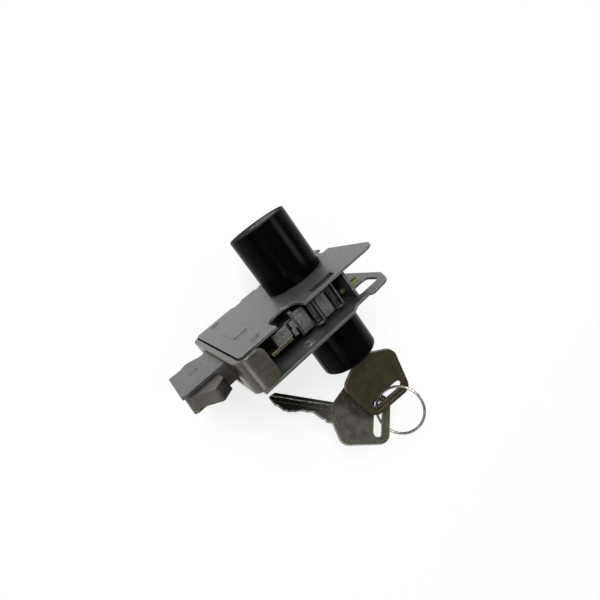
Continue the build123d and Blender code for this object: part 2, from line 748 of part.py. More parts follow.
def tooth_points():
    """Outline of one pinion tooth about its own centre line, from root to root."""
    pressure = math.radians(PRESSURE_ANGLE)
    base_r = PITCH_R * math.cos(pressure)
    half = (math.pi * MODULE / 2 - TOOTH_PLAY) / (2 * PITCH_R) + involute(pressure)
    flank = [(PINION_ROOT_R - TOOTH_ROOT_SINK, half)]
    for step in range(TOOTH_STEPS + 1):
        r = base_r + (PINION_TIP_R - base_r) * step / TOOTH_STEPS
        flank.append((r, half - involute(math.acos(base_r / r))))
    left = [(r * math.cos(a), r * math.sin(a)) for r, a in flank]
    right = [(x, -y) for x, y in reversed(left)]
    return left + right


def pinion_profile(y):
    with BuildSketch(level(y)) as shape:
        with Locations((PLUG_X, 0)):
            Circle(PINION_ROOT_R)
        with BuildSketch(mode=Mode.PRIVATE) as tooth:
            with BuildLine():
                Polyline(*tooth_points(), close=True)
            make_face()
        with Locations((PLUG_X, 0)):
            with PolarLocations(0, TEETH, start_angle=-90 + 180 / TEETH):
                add(tooth.sketch)
    return shape.sketch


with BuildPart() as cam_pinion:
    extrude(pinion_profile(PINION_TOP), amount=PINION_TOP - PINION_BOTTOM)
    extrude(disc(level(PINION_BOTTOM), PLUG_X, 0, HUB_R), amount=PINION_BOTTOM - HUB_BOTTOM)
    extrude(sector(DOG_TOP, DOG_ANGLES), amount=DOG_TOP - PINION_TOP + MODULE / 2)
    with BuildSketch(level(TONGUE_TIP + TONGUE_PLAY)):
        with Locations((PLUG_X, 0)):
            Rectangle(TONGUE_WIDE + 2 * TONGUE_PLAY, TONGUE_HIGH + 2 * TONGUE_PLAY)
    extrude(amount=CASE_DEPTH, mode=Mode.SUBTRACT)
save(cam_pinion, "cam_pinion")


def cheek(plane, front_points):
    """Cheek plate outline: straight sides and a wavy back edge near the tip."""
    with BuildSketch(plane) as shape:
        with BuildLine():
            Spline(*WAVE_POINTS)
            Polyline(WAVE_POINTS[-1], (CHEEK_TIP_BACK_X, CHEEK_BACK), *front_points,
                     (CHEEK_END, CHEEK_BACK), (WAVE_POINTS[0][0] + WAVE_LEAD, CHEEK_BACK),
                     WAVE_POINTS[0])
        make_face()
    return shape.sketch


with BuildPart() as bolt_top_cheek:
    thickness = TOP_CHEEK_OUT - TOP_CHEEK_IN
    extrude(cheek(level(TOP_CHEEK_OUT),
                  ((BOLT_TIP, CHEEK_FRONT - CHEEK_TIP_CHAMFER),
                   (BOLT_TIP + CHEEK_TIP_CHAMFER, CHEEK_FRONT), (CHEEK_END, CHEEK_FRONT))),
            amount=thickness)
    with BuildSketch(level(TOP_CHEEK_OUT)):
        with Locations(CHEEK_MARK):
            Circle(CHEEK_MARK_R)
            Circle(CHEEK_MARK_INNER_R, mode=Mode.SUBTRACT)
    extrude(amount=CHEEK_MARK_DEPTH, mode=Mode.SUBTRACT)
    for point in RIVET_POINTS:
        extrude(disc(level(TOP_CHEEK_OUT), point[0], point[1], RIVET_R),
                amount=thickness, mode=Mode.SUBTRACT)
    extrude(disc(level(TOP_CHEEK_OUT), PIVOT_X, PIVOT_Z, PIVOT_R),
            amount=thickness, mode=Mode.SUBTRACT)
save(bolt_top_cheek, "bolt_top_cheek")


def guide_slot(plane):
    """Straight slot that the guide pin runs along as the bolt moves."""
    with BuildSketch(plane) as shape:
        with Locations((GUIDE_PIN_X - THROW / 2, PIVOT_Z)):
            SlotCenterToCenter(THROW + GUIDE_SLOT_SPARE, 2 * GUIDE_SLOT_R)
    return shape.sketch


with BuildPart() as bolt_bottom_cheek:
    thickness = BOTTOM_CHEEK_IN - BOTTOM_CHEEK_OUT
    extrude(cheek(level(BOTTOM_CHEEK_IN),
                  ((BOLT_TIP, LOWER_CHEEK_FRONT - CHEEK_TIP_CHAMFER),
                   (BOLT_TIP + CHEEK_TIP_CHAMFER, LOWER_CHEEK_FRONT),
                   (CHEEK_WING_LEFT - CHEEK_WING_STEP, LOWER_CHEEK_FRONT),
                   (CHEEK_WING_LEFT, LOWER_CHEEK_FRONT + CHEEK_WING_STEP),
                   (CHEEK_WING_LEFT, CHEEK_WING_FRONT), (CHEEK_END, CHEEK_WING_FRONT))),
            amount=thickness)
    extrude(guide_slot(level(BOTTOM_CHEEK_IN)), amount=thickness, mode=Mode.SUBTRACT)
    for point in RIVET_POINTS:
        extrude(disc(level(BOTTOM_CHEEK_IN), point[0], point[1], RIVET_R),
                amount=thickness, mode=Mode.SUBTRACT)
    extrude(disc(level(BOTTOM_CHEEK_IN), PIVOT_X, PIVOT_Z, PIVOT_R),
            amount=thickness, mode=Mode.SUBTRACT)
save(bolt_bottom_cheek, "bolt_bottom_cheek")


def rack_points():
    """Outline of the toothed arm, from the spine to its free end."""
    slope = math.tan(math.radians(PRESSURE_ANGLE))
    half = (math.pi * MODULE / 2 - TOOTH_PLAY) / 2
    tip = half - RACK_ADDENDUM * slope
    foot = half + RACK_DEDENDUM * slope
    tip_z = -PITCH_R + RACK_ADDENDUM
    root_z = -PITCH_R - RACK_DEDENDUM
    points = [(SPINE_LEFT, RACK_BACK), (SPINE_LEFT, root_z)]
    for index in range(RACK_TEETH):
        x = PLUG_X - math.pi * MODULE * (RACK_TEETH - 1 - index)
        points += [(x - foot, root_z), (x - tip, tip_z), (x + tip, tip_z), (x + foot, root_z)]
    return points + [(RACK_END, root_z), (RACK_END, RACK_BACK)]


with BuildPart() as carriage:
    extrude(panel(level(TOP_CHEEK_IN), SPINE_LEFT, BACK_ARM_BACK, SPINE_RIGHT,
                  SPINE_FRONT), amount=TOP_CHEEK_IN - BOTTOM_CHEEK_IN)
    extrude(panel(level(TOP_CHEEK_IN), BACK_ARM_LEFT, BACK_ARM_BACK, SPINE_RIGHT,
                  BACK_ARM_FRONT), amount=TOP_CHEEK_IN - BOTTOM_CHEEK_IN)
    extrude(outline(level(RACK_TOP), rack_points()), amount=RACK_TOP - BOTTOM_CHEEK_IN)
    extrude(outline(level(BRANCH_TOP), (
        (BRANCH_LEFT, BRANCH_BACK), (BRANCH_END, BRANCH_BACK),
        (BRANCH_END, BRANCH_STEP_FRONT), (BRANCH_STEP_X, BRANCH_STEP_FRONT),
        (BRANCH_STEP_X, BRANCH_FRONT), (BRANCH_LEFT, BRANCH_FRONT))),
            amount=BRANCH_TOP - BOTTOM_CHEEK_IN)
    for point in RIVET_POINTS:
        extrude(disc(level(TOP_CHEEK_IN), point[0], point[1], RIVET_R),
                amount=TOP_CHEEK_IN - BOTTOM_CHEEK_IN, mode=Mode.SUBTRACT)
    extrude(disc(lengthwise(TIE_START), TIE_Y, TIE_Z, TIE_R),
            amount=BRANCH_END - TIE_START, mode=Mode.SUBTRACT)
save(carriage, "carriage")


with BuildPart() as carriage_end_plate:
    extrude(panel(lengthwise(BRANCH_END), END_PLATE_BOTTOM, END_PLATE_BACK, END_PLATE_TOP,
                  BRANCH_FRONT, END_PLATE_CORNER_R), amount=END_PLATE_RIGHT - BRANCH_END)
    extrude(disc(lengthwise(BRANCH_END), TIE_Y, TIE_Z, TIE_R),
            amount=END_PLATE_RIGHT - BRANCH_END, mode=Mode.SUBTRACT)
save(carriage_end_plate, "carriage_end_plate")


with BuildPart() as carriage_end_block:
    extrude(panel(lengthwise(END_PLATE_RIGHT), END_BLOCK_BOTTOM, BRANCH_BACK,
                  END_BLOCK_TOP, BRANCH_FRONT), amount=END_BLOCK_RIGHT - END_PLATE_RIGHT)
    chamfer(carriage_end_block.edges().filter_by(Axis.X), END_BLOCK_CHAMFER)
    extrude(disc(lengthwise(END_PLATE_RIGHT), TIE_Y, TIE_Z, TIE_R),
            amount=END_BLOCK_RIGHT - END_PLATE_RIGHT, mode=Mode.SUBTRACT)
    # The end of the stop pin goes into this hole when the bolt is drawn in
    extrude(disc(lengthwise(END_BLOCK_RIGHT - STOP_HOLE_DEPTH), STOP_PIN_Y, STOP_PIN_Z,
                 STOP_HOLE_R), amount=STOP_HOLE_DEPTH, mode=Mode.SUBTRACT)
save(carriage_end_block, "carriage_end_block")


with BuildPart() as carriage_tie_pin:
    extrude(disc(lengthwise(TIE_START), TIE_Y, TIE_Z, TIE_R),
            amount=END_BLOCK_RIGHT - TIE_START)
save(carriage_tie_pin, "carriage_tie_pin")


with BuildPart() as step_block:
    extrude(panel(level(STEP_TOP), STEP_MIDDLE, BRANCH_STEP_FRONT, STEP_RIGHT,
                  BRANCH_FRONT), amount=STEP_TOP - STEP_LEVEL)
    extrude(panel(level(STEP_LEVEL), STEP_LEFT, BRANCH_STEP_FRONT, STEP_LOWER_RIGHT,
                  BRANCH_FRONT), amount=STEP_LEVEL - STEP_BOTTOM)
save(step_block, "step_block")


with BuildPart() as bolt_rivets:
    for point in RIVET_POINTS:
        extrude(disc(level(TOP_CHEEK_OUT), point[0], point[1], RIVET_R),
                amount=TOP_CHEEK_OUT - BOTTOM_CHEEK_OUT)
save(bolt_rivets, "bolt_rivets")


with BuildPart() as claw_pivot:
    extrude(disc(level(TOP_CHEEK_OUT), PIVOT_X, PIVOT_Z, PIVOT_R),
            amount=TOP_CHEEK_OUT - BOTTOM_CHEEK_OUT)
save(claw_pivot, "claw_pivot")


def claw_points():
    """Outline of the hook, from its head along the neck, round the pivot and the catch."""
    return CLAW_HEAD + CLAW_NECK_BACK + CLAW_NECK_FRONT + CLAW_CATCH


def groove_path():
    """Where the guide pin lies in the claw as the bolt draws in and the claw folds."""
    points = []
    for step in range(CLAW_GROOVE_STEPS + 1):
        share = step / CLAW_GROOVE_STEPS
        reach = GUIDE_PIN_X - PIVOT_X - THROW * share
        angle = math.radians(CLAW_SWING * share)
        points.append((PIVOT_X + reach * math.cos(angle), PIVOT_Z - reach * math.sin(angle)))
    return points


def claw_groove(y):
    path = groove_path()
    with BuildSketch(level(y)) as shape:
        with BuildLine():
            Spline(*path)
        trace(line_width=CLAW_GROOVE_WIDE)
        with Locations(path[0], path[-1]):
            Circle(CLAW_GROOVE_WIDE / 2)
    return shape.sketch


with BuildPart() as claw:
    extrude(outline(level(CLAW_TOP), claw_points(), (0, 1, 8, 9, 10), CLAW_TIP_R),
            amount=CLAW_TOP - CLAW_BOTTOM)
    extrude(disc(level(CLAW_TOP), PIVOT_X, PIVOT_Z, CLAW_BOSS_R),
            amount=CLAW_TOP - CLAW_BOTTOM)
    extrude(disc(level(CLAW_TOP), PIVOT_X, PIVOT_Z, PIVOT_BORE_R),
            amount=CLAW_TOP - CLAW_BOTTOM, mode=Mode.SUBTRACT)
    extrude(claw_groove(CLAW_GROOVE_FLOOR), amount=CLAW_GROOVE_FLOOR - CLAW_BOTTOM,
            mode=Mode.SUBTRACT)
save(claw, "claw")


def blade_points():
    """Outline of the key blade, with its cuts on the side of the pins."""
    tip = -BLADE_LENGTH
    points = [(tip, BLADE_TIP_BACK), (tip, BLADE_TIP_FRONT)]
    for index, depth in enumerate(CUT_DEPTHS):
        s = tip + FIRST_CUT + PIN_PITCH * index
        points += [(s - CUT_FLAT / 2, depth - BLADE_HALF), (s + CUT_FLAT / 2, depth - BLADE_HALF)]
        # A ridge is left between two cuts of nearly the same depth
        if index + 1 < len(CUT_DEPTHS) and abs(depth - CUT_DEPTHS[index + 1]) < RIDGE_STEP:
            ridge = min(depth, CUT_DEPTHS[index + 1]) - CUT_RIDGE
            points.append((s + PIN_PITCH / 2, ridge - BLADE_HALF))
    full = tip + FIRST_CUT + PIN_PITCH * len(CUT_DEPTHS) + CUT_RUN_OUT
    return points + [(full, -BLADE_HALF), (SHOULDER_START, -BLADE_HALF),
                     (SHOULDER_START + SHOULDER_SLOPE, -SHOULDER_HALF),
                     (BLADE_ROOT, -SHOULDER_HALF), (BLADE_ROOT, BLADE_HALF),
                     (tip + BLADE_BACK_START, BLADE_HALF)]


def bow_points():
    return ((0, -BLADE_HALF), (BOW_RISE, -BOW_WIDE_HALF), (BOW_LENGTH, -BOW_END_HALF),
            (BOW_LENGTH, BOW_END_HALF), (BOW_RISE, BOW_WIDE_HALF), (0, BLADE_HALF))


def bow(plane, inset=0.0):
    """Outline of the bow, drawn in by the width of its rim when an inset is given."""
    return outline(plane, bow_points(), (1, 2, 3, 4), BOW_CORNER_R, inset)


def key(plane):
    """Key lying in a plane: local x from the shoulder to the bow, cuts towards -y."""
    with BuildPart() as body:
        extrude(outline(plane.offset(-BLADE_THICK / 2), blade_points()), amount=BLADE_THICK)
        extrude(bow(plane.offset(-BOW_THICK / 2)), amount=BOW_THICK)
        with BuildSketch(plane.offset(-BOW_THICK)):
            with Locations((BOW_SLOT_AT, 0)):
                SlotOverall(BOW_SLOT_LENGTH, BOW_SLOT_WIDE, rotation=90)
        extrude(amount=2 * BOW_THICK, mode=Mode.SUBTRACT)
        for side in (1, -1):
            extrude(bow(plane.offset(side * BOW_THICK / 2), BOW_RIM),
                    amount=-side * BOW_PANEL_DEPTH, mode=Mode.SUBTRACT)
        groove = panel(plane.offset(BLADE_THICK / 2), -BLADE_LENGTH - OVERRUN,
                       WARD_X - BLADE_GROOVE_WIDE / 2, BLADE_GROOVE_END,
                       WARD_X + BLADE_GROOVE_WIDE / 2)
        extrude(groove, amount=-BLADE_GROOVE_DEPTH, mode=Mode.SUBTRACT)
    return body


inserted = Plane(origin=(PLUG_X, KEY_SHOULDER_Y, 0), x_dir=(0, -1, 0), z_dir=(-SIN_TURN, 0, COS_TURN))
save(key(inserted), "key_in_lock")
save(key(Plane(origin=SPARE_ORIGIN, x_dir=SPARE_ALONG, z_dir=SPARE_NORMAL)), "spare_key")

with BuildPart() as key_ring:
    with Locations(Plane(origin=RING_CENTRE, z_dir=RING_NORMAL)):
        Torus(RING_R, RING_WIRE_R)
save(key_ring, "key_ring")
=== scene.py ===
import bpy
import json
import math
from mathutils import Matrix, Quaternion, Vector

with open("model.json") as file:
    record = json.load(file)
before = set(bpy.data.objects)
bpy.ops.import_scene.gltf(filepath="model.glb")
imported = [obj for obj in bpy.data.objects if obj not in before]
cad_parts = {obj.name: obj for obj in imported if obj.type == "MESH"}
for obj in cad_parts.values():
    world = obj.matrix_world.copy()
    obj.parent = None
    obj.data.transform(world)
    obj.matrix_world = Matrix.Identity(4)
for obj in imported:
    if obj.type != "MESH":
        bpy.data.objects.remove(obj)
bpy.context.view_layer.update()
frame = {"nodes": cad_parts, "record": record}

nodes = frame["nodes"]
scene = bpy.context.scene

# Shared values, in millimetres where they are lengths

MM = 0.001
EDGE_SAMPLES = 6
# Painted shade: ambient occlusion darkens colours in hollows and gaps, with these samples, reach in
# millimetres and darkness
SHADE_SAMPLES = 6
SHADE_REACH = 7.0
SHADE_SHARE = 0.12

# The spare key's blade is darkened towards its tip, over this distance

SPARE_TIP = (-36.4, -40.2, -19.9)
TIP_DARK_FULL = 14.0
TIP_DARK_REACH = 31.0
TIP_DARK_SHARE = 0.18

# Sockets of the Mix node when it mixes colours

COLOR_A = 6
COLOR_B = 7
COLOR_OUT = 2


# Shader helpers

def material(name):
    """A new material with its node tree, shader and object coordinates in millimetres."""
    made = bpy.data.materials.new(name)
    made.use_nodes = True
    tree = made.node_tree
    place = stretched(tree, tree.nodes.new("ShaderNodeTexCoord").outputs["Object"],
                      (1 / MM, 1 / MM, 1 / MM))
    return made, tree, tree.nodes["Principled BSDF"], place


def feed(tree, socket, value):
    """Gives a socket a link, a colour of three numbers, or a number."""
    if hasattr(value, "links"):
        tree.links.new(value, socket)
    elif socket.type == "RGBA":
        socket.default_value = (*value, 1.0)
    else:
        socket.default_value = value


def stretched(tree, place, scale):
    """Coordinates scaled along each axis: a small scale draws a pattern out along that axis."""
    node = tree.nodes.new("ShaderNodeMapping")
    node.inputs["Scale"].default_value = scale
    tree.links.new(place, node.inputs["Vector"])
    return node.outputs["Vector"]


def noise(tree, place, scale, detail=4.0, rough=0.55):
    """Noise with about this many cells per millimetre."""
    node = tree.nodes.new("ShaderNodeTexNoise")
    node.inputs["Scale"].default_value = scale
    node.inputs["Detail"].default_value = detail
    node.inputs["Roughness"].default_value = rough
    tree.links.new(place, node.inputs["Vector"])
    return node.outputs["Fac"]


def spread(tree, value, low, high, start=0.35, end=0.65):
    """Maps start to end onto low to high. Most of a noise lies between the values given here."""
    node = tree.nodes.new("ShaderNodeMapRange")
    node.inputs["From Min"].default_value = start
    node.inputs["From Max"].default_value = end
    node.inputs["To Min"].default_value = low
    node.inputs["To Max"].default_value = high
    tree.links.new(value, node.inputs["Value"])
    return node.outputs["Result"]


def combine(tree, operation, first, second):
    """A sum, product or the like of two values, each a socket or a number."""
    node = tree.nodes.new("ShaderNodeMath")
    node.operation = operation
    feed(tree, node.inputs[0], first)
    feed(tree, node.inputs[1], second)
    return node.outputs[0]


def mixed(tree, factor, first, second):
    """Colour between two colours, each a socket or three numbers."""
    node = tree.nodes.new("ShaderNodeMix")
    node.data_type = "RGBA"
    tree.links.new(factor, node.inputs["Factor"])
    feed(tree, node.inputs[COLOR_A], first)
    feed(tree, node.inputs[COLOR_B], second)
    return node.outputs[COLOR_OUT]


def soft_edges(tree, radius):
    """Normals as if each sharp edge were rounded to this radius."""
    node = tree.nodes.new("ShaderNodeBevel")
    node.samples = EDGE_SAMPLES
    node.inputs["Radius"].default_value = radius * MM
    return node.outputs["Normal"]


def relief(tree, shader, height, strength, depth, edge):
    """Surface relief over softened edges."""
    node = tree.nodes.new("ShaderNodeBump")
    node.inputs["Strength"].default_value = strength
    node.inputs["Distance"].default_value = depth * MM
    tree.links.new(height, node.inputs["Height"])
    tree.links.new(soft_edges(tree, edge), node.inputs["Normal"])
    tree.links.new(node.outputs["Normal"], shader.inputs["Normal"])


# Mask for edges painted lighter: partly real wear, partly painted highlight
def worn_and_highlit_edges(tree, radius, start=0.90, end=0.992):
    """1 on sharp edges within the radius, 0 on the faces."""
    node = tree.nodes.new("ShaderNodeVectorMath")
    node.operation = "DOT_PRODUCT"
    tree.links.new(soft_edges(tree, radius), node.inputs[0])
    tree.links.new(tree.nodes.new("ShaderNodeNewGeometry").outputs["Normal"], node.inputs[1])
    return spread(tree, node.outputs["Value"], 1.0, 0.0, start, end)


def end_faces(tree):
    """1 on the faces that look along the cylinders' axis, else 0."""
    parts = tree.nodes.new("ShaderNodeSeparateXYZ")
    tree.links.new(tree.nodes.new("ShaderNodeNewGeometry").outputs["True Normal"],
                   parts.inputs[0])
    along = combine(tree, "ABSOLUTE", parts.outputs["Y"], 0.0)
    return spread(tree, along, 0.0, 1.0, start=0.8, end=0.95)


def painted_shade(tree, color, dark):
    """Darkens a colour in hollows and narrow gaps as painted shade, by ambient occlusion."""
    node = tree.nodes.new("ShaderNodeAmbientOcclusion")
    node.samples = SHADE_SAMPLES
    node.inputs["Distance"].default_value = SHADE_REACH * MM
    shade_color = [SHADE_SHARE * c for c in dark]
    hidden = spread(tree, node.outputs["AO"], 1.0, 0.0, start=0.2, end=0.85)
    return mixed(tree, hidden, color, shade_color)


def near(tree, place, point, start, end):
    """1 within the first distance of a point, falling to 0 at the second."""
    node = tree.nodes.new("ShaderNodeVectorMath")
    node.operation = "DISTANCE"
    node.inputs[1].default_value = point
    tree.links.new(place, node.inputs[0])
    return spread(tree, node.outputs["Value"], 1.0, 0.0, start, end)


# Materials

def plated_sheet(name, light, dark, stain, rim, metallic, rough, grain, scratch=0.5, rim_width=0.4):
    """Plated sheet: cloudy grey, faint drawn lines, small dents and stains, painted shade in
    hollows, and bright rims painted partly as wear and partly as highlight.
    """
    made, tree, shader, place = material(name)
    clouds = noise(tree, place, 0.13, detail=5.0, rough=0.6)
    lines = noise(tree, stretched(tree, place, grain), 0.9, detail=6.0, rough=0.65)
    dents = noise(tree, place, 0.45, detail=2.0, rough=0.5)
    specks = noise(tree, place, 2.2, detail=2.0, rough=0.6)
    color = mixed(tree, spread(tree, clouds, 0.0, 1.0), dark, light)
    color = mixed(tree, spread(tree, lines, 0.0, scratch, start=0.52, end=0.66), color, light)
    color = mixed(tree, spread(tree, specks, 0.0, 0.45, start=0.58, end=0.7), color, dark)
    color = mixed(tree, spread(tree, dents, 0.0, 0.75, start=0.56, end=0.68), color, stain)
    # Painted shade: darker in hollows and narrow gaps
    color = painted_shade(tree, color, dark)
    # Edges painted lighter: wear plus painted highlight
    edge_wear_and_shine = combine(tree, "MULTIPLY", worn_and_highlit_edges(tree, rim_width, start=0.80, end=0.96),
                   spread(tree, specks, 0.45, 1.0))
    tree.links.new(mixed(tree, edge_wear_and_shine, color, rim), shader.inputs["Base Color"])
    dullness = spread(tree, combine(tree, "ADD", lines, clouds), *rough, start=0.7, end=1.3)
    tree.links.new(dullness, shader.inputs["Roughness"])
    shader.inputs["Metallic"].default_value = metallic
    height = combine(tree, "ADD", combine(tree, "MULTIPLY", dents, 4.0), lines)
    relief(tree, shader, height, strength=0.35, depth=0.03, edge=0.18)
    return made


def rolled_steel(name, light, dark, metallic, rough, grain, edge=0.2):
    """Turned or rolled metal: lines along the way it was worked, patchy, painted shade in hollows,
    edges painted lighter as wear and painted highlight.
    """
    made, tree, shader, place = material(name)
    lines = noise(tree, stretched(tree, place, grain), 0.8, detail=6.0, rough=0.6)
    clouds = noise(tree, place, 0.22)
    patches = spread(tree, combine(tree, "ADD", lines, clouds), 0.0, 1.0, start=0.75, end=1.25)
    color = mixed(tree, patches, dark, light)
    # Painted shade: darker in hollows and narrow gaps
    color = painted_shade(tree, color, dark)
    # Edges painted lighter: wear plus painted highlight
    edge_wear_and_shine = combine(tree, "MULTIPLY", worn_and_highlit_edges(tree, edge), spread(tree, lines, 0.3, 0.9))
    bright = [min(1.0, 1.5 * c) for c in light]
    tree.links.new(mixed(tree, edge_wear_and_shine, color, bright), shader.inputs["Base Color"])
    tree.links.new(spread(tree, lines, *rough), shader.inputs["Roughness"])
    shader.inputs["Metallic"].default_value = metallic
    relief(tree, shader, lines, strength=0.25, depth=0.02, edge=edge)
    return made


def sintered_iron(name, light, dark, rim):
    """Sintered metal: a coarse bright speckle over dark grey, pitted."""
    made, tree, shader, place = material(name)
    specks = noise(tree, place, 2.1, detail=3.0, rough=0.75)
    pits = noise(tree, place, 3.4, detail=2.0, rough=0.6)
    clouds = noise(tree, place, 0.3, detail=3.0)
    color = mixed(tree, spread(tree, specks, 0.0, 1.0, start=0.36, end=0.72), dark, light)
    color = mixed(tree, spread(tree, clouds, 0.0, 0.5, start=0.5, end=0.7), color, dark)
    # Painted shade: darker in hollows and narrow gaps
    color = painted_shade(tree, color, dark)
    # Edges painted lighter: wear plus painted highlight
    edge_wear_and_shine = combine(tree, "MULTIPLY", worn_and_highlit_edges(tree, 0.3), spread(tree, pits, 0.3, 0.9))
    tree.links.new(mixed(tree, edge_wear_and_shine, color, rim), shader.inputs["Base Color"])
    tree.links.new(spread(tree, pits, 0.42, 0.68), shader.inputs["Roughness"])
    shader.inputs["Metallic"].default_value = 0.7
    relief(tree, shader, combine(tree, "ADD", specks, pits), strength=0.8, depth=0.06, edge=0.25)
    return made


def black_paint(name, light, dark, dusty, rim):
    """Gloss black finish, slightly uneven, with specks, rubbed edges and dull end faces."""
    made, tree, shader, place = material(name)
    clouds = noise(tree, stretched(tree, place, (1.0, 0.4, 1.0)), 0.12)
    peel = noise(tree, place, 1.0, detail=2.0)
    dust = noise(tree, place, 1.6, detail=2.0, rough=0.5)
    color = mixed(tree, spread(tree, clouds, 0.0, 1.0), dark, light)
    color = mixed(tree, spread(tree, dust, 0.0, 0.5, start=0.72, end=0.77), color, dusty)
    # Edges painted a little lighter: rubbed paint plus painted highlight
    color = mixed(tree, worn_and_highlit_edges(tree, 0.25, start=0.8, end=0.95), color, rim)
    tree.links.new(color, shader.inputs["Base Color"])
    dull = combine(tree, "MULTIPLY", end_faces(tree), 0.7)
    dullness = combine(tree, "MAXIMUM", spread(tree, clouds, 0.17, 0.26), dull)
    tree.links.new(dullness, shader.inputs["Roughness"])
    shader.inputs["Specular IOR Level"].default_value = 0.04
    relief(tree, shader, peel, strength=0.08, depth=0.02, edge=0.25)
    return made


def key_metal(name, light, dark, rim, metallic, rough, tip=None):
    """Worn key metal: mottled, with painted shade in hollows, darker towards its tip, and edges
    painted bright as polish and painted highlight.
    """
    made, tree, shader, place = material(name)
    clouds = noise(tree, place, 0.25, detail=5.0, rough=0.6)
    rubs = noise(tree, stretched(tree, place, (1.0, 0.35, 1.0)), 1.1, detail=5.0, rough=0.6)
    color = mixed(tree, spread(tree, clouds, 0.0, 1.0), dark, light)
    color = mixed(tree, spread(tree, rubs, 0.0, 0.5, start=0.52, end=0.68), color, dark)
    if tip:
        tip_dark = [TIP_DARK_SHARE * c for c in dark]
        color = mixed(tree, near(tree, place, tip, TIP_DARK_FULL, TIP_DARK_REACH), color, tip_dark)
    # Painted shade: darker in hollows and narrow gaps
    color = painted_shade(tree, color, dark)
    # Edges painted lighter: polish plus painted highlight
    edge_wear_and_shine = combine(tree, "MULTIPLY", worn_and_highlit_edges(tree, 0.35, start=0.80, end=0.95),
                   spread(tree, rubs, 0.4, 1.0))
    tree.links.new(mixed(tree, edge_wear_and_shine, color, rim), shader.inputs["Base Color"])
    dullness = spread(tree, combine(tree, "ADD", clouds, rubs), *rough, start=0.75, end=1.25)
    tree.links.new(dullness, shader.inputs["Roughness"])
    shader.inputs["Metallic"].default_value = metallic
    relief(tree, shader, rubs, strength=0.3, depth=0.03, edge=0.3)
    return made


# The look of each material slot: the scale of a grain is small along its lines

EVEN = (1.0, 1.0, 1.0)

SHEETS = {
    "zinc_plate": plated_sheet(
        "zinc_plate_look", light=(0.147, 0.158, 0.153), dark=(0.100, 0.108, 0.104),
        stain=(0.098, 0.106, 0.102), rim=(0.46, 0.46, 0.43),
        metallic=0.65, rough=(0.32, 0.50), grain=(0.12, 1.0, 1.0)),
    # The bracket's sheet is a darker copy of the plate: painted shade for the inside of the case,
    # with rims painted bright as highlight
    "bracket_steel": plated_sheet(
        "bracket_steel_shaded_look", light=(0.085, 0.087, 0.083), dark=(0.032, 0.033, 0.031),
        stain=(0.04, 0.041, 0.038), rim=(0.32, 0.32, 0.30),
        metallic=0.65, rough=(0.34, 0.5), grain=(1.0, 0.15, 1.0)),
    "forend_steel": plated_sheet(
        "forend_look", light=(0.140, 0.127, 0.110), dark=(0.080, 0.071, 0.060),
        stain=(0.062, 0.054, 0.046), rim=(0.20, 0.185, 0.16),
        metallic=0.75, rough=(0.26, 0.42), grain=(1.2, 0.08, 1.0), scratch=0.6),
    "cheek_steel": plated_sheet(
        "cheek_steel_look", light=(0.126, 0.130, 0.125), dark=(0.072, 0.074, 0.071),
        stain=(0.065, 0.064, 0.060), rim=(0.19, 0.18, 0.165),
        metallic=0.6, rough=(0.36, 0.52), grain=(1.0, 1.0, 0.12)),
    "yellow_zinc": plated_sheet(
        "yellow_zinc_look", light=(0.105, 0.094, 0.058), dark=(0.045, 0.041, 0.027),
        stain=(0.05, 0.044, 0.028), rim=(0.55, 0.50, 0.33),
        metallic=0.7, rough=(0.3, 0.46), grain=(1.0, 1.0, 0.12), rim_width=0.65),
    "claw_steel": plated_sheet(
        "claw_steel_look", light=(0.096, 0.086, 0.075), dark=(0.034, 0.030, 0.025),
        stain=(0.04, 0.035, 0.030), rim=(0.14, 0.127, 0.113),
        metallic=0.7, rough=(0.34, 0.5), grain=(0.15, 1.0, 1.0)),
}

WORKED = {
    "post_brass": rolled_steel(
        "post_brass_look", light=(0.27, 0.25, 0.115), dark=(0.10, 0.094, 0.045),
        metallic=0.6, rough=(0.32, 0.5), grain=(0.2, 1.0, 1.0)),
    "pin_steel": rolled_steel(
        "pin_steel_look", light=(0.26, 0.25, 0.235), dark=(0.10, 0.096, 0.088),
        metallic=0.85, rough=(0.25, 0.4), grain=(1.0, 6.0, 1.0)),
    "cylinder_core": rolled_steel(
        "cylinder_core_look", light=(0.024, 0.024, 0.024), dark=(0.006, 0.006, 0.006),
        metallic=0.2, rough=(0.6, 0.8), grain=EVEN),
    "plug_brass": rolled_steel(
        "plug_brass_look", light=(0.075, 0.073, 0.068), dark=(0.020, 0.019, 0.018),
        metallic=0.5, rough=(0.5, 0.7), grain=EVEN),
    "pin_brass": rolled_steel(
        "pin_brass_look", light=(0.5, 0.4, 0.18), dark=(0.3, 0.23, 0.09),
        metallic=0.9, rough=(0.25, 0.4), grain=EVEN),
    "spring_steel": rolled_steel(
        "spring_steel_look", light=(0.5, 0.5, 0.5), dark=(0.3, 0.3, 0.3),
        metallic=0.9, rough=(0.2, 0.35), grain=EVEN, edge=0.05),
    "ring_steel": rolled_steel(
        "ring_steel_look", light=(0.40, 0.385, 0.33), dark=(0.22, 0.21, 0.175),
        metallic=0.95, rough=(0.15, 0.3), grain=EVEN, edge=0.1),
}

